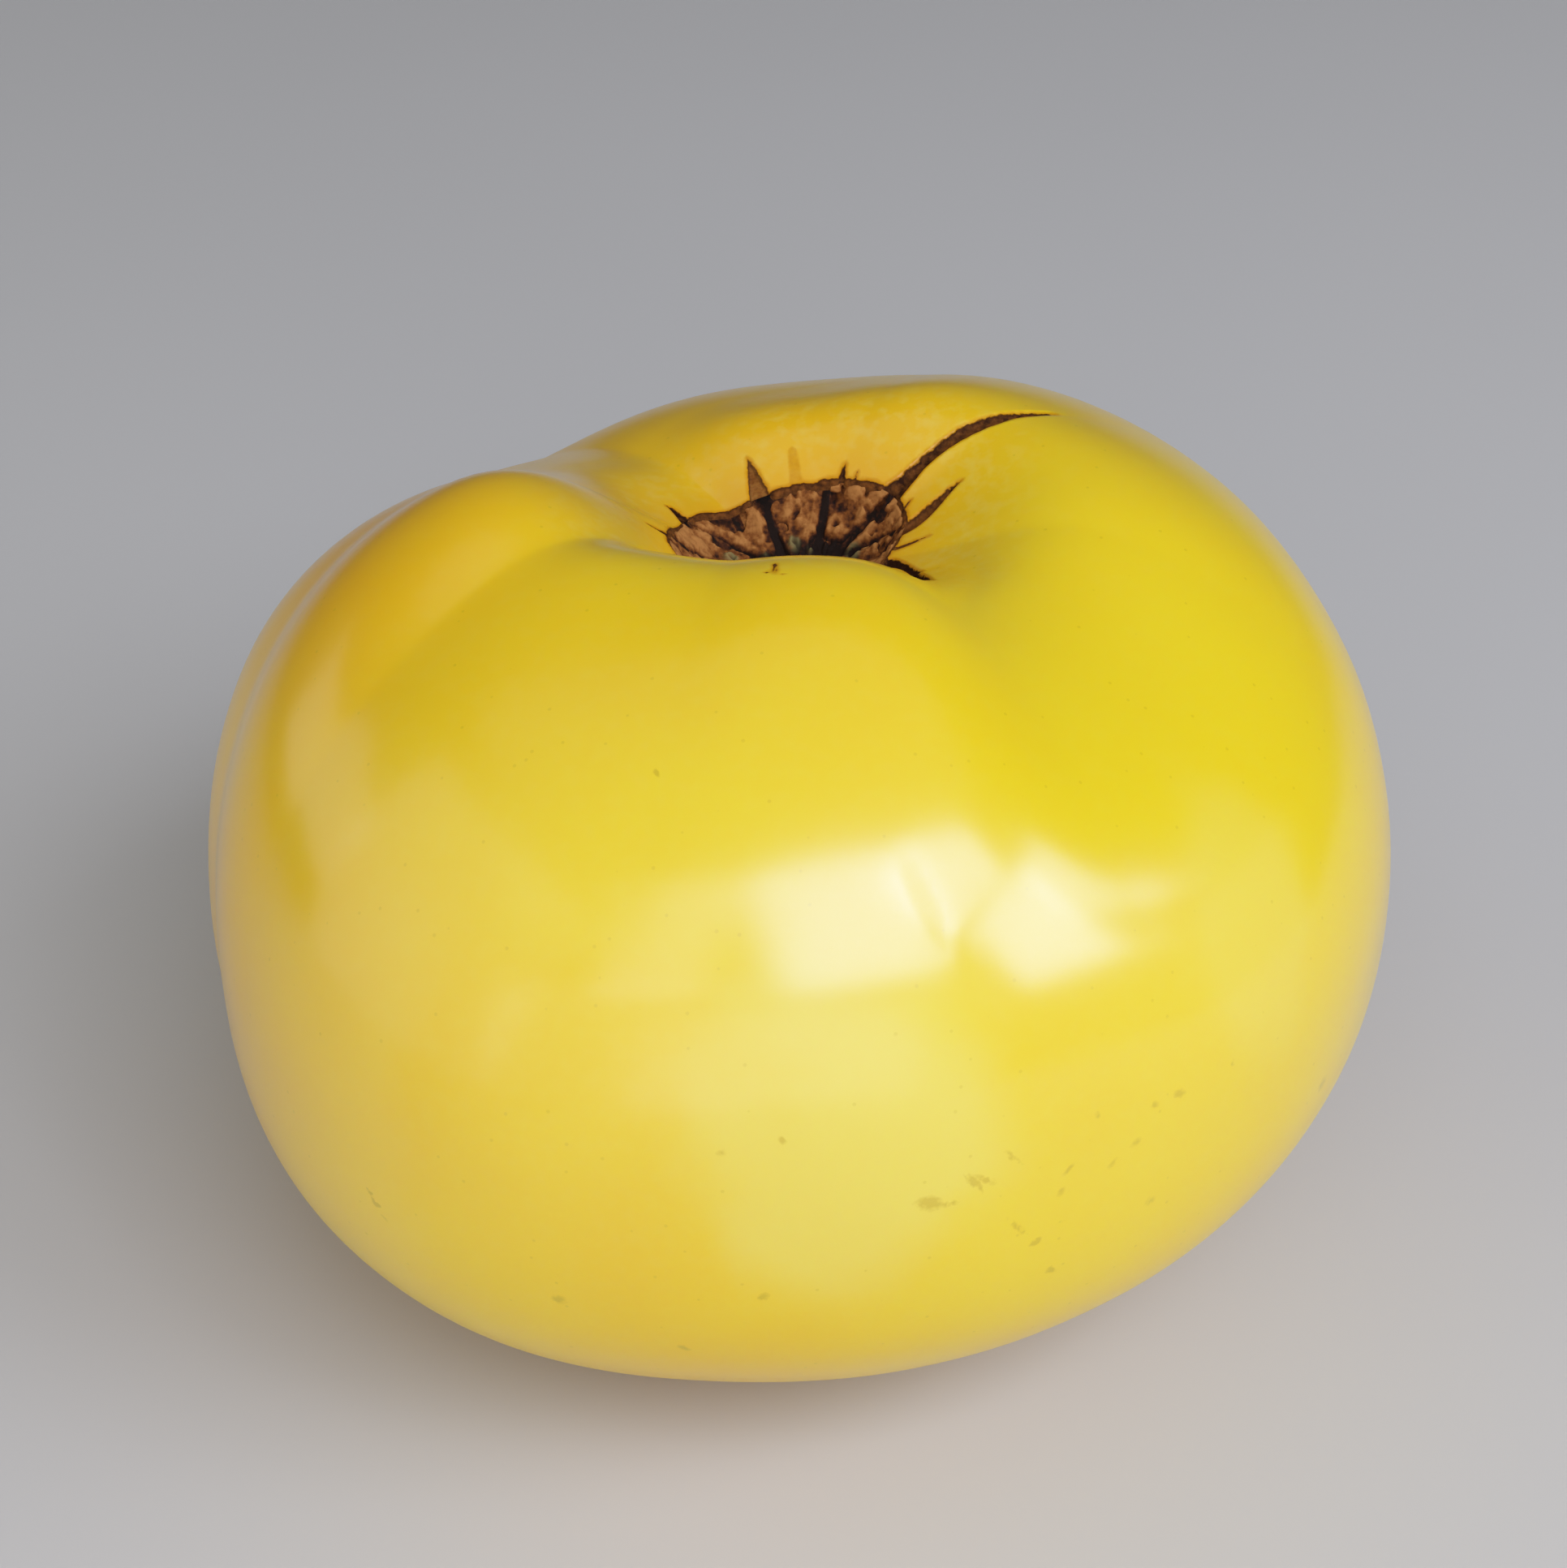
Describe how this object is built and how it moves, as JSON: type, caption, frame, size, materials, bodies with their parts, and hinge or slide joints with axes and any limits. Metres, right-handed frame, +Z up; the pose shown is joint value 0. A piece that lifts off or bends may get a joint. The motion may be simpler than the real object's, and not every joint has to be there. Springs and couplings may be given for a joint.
{
  "type": "tomato",
  "caption": "Large yellow beefsteak tomato, ripe, lobed round a corky stem scar with healed cracks, resting on its flattened blossom end.",
  "frame": {"origin": "middle of the fruit's box, at the level of the flat spot that it rests on", "axes": "+Z up through the stem scar, +X to the right and -Y towards the viewer as the fruit is shown"},
  "size_m": [0.0948, 0.0956, 0.0692],
  "materials": {
    "skin": "satin",
    "cork": "matte"
  },
  "bodies": {
    "root": {"tomato": "skin"}
  },
  "joints": []
}
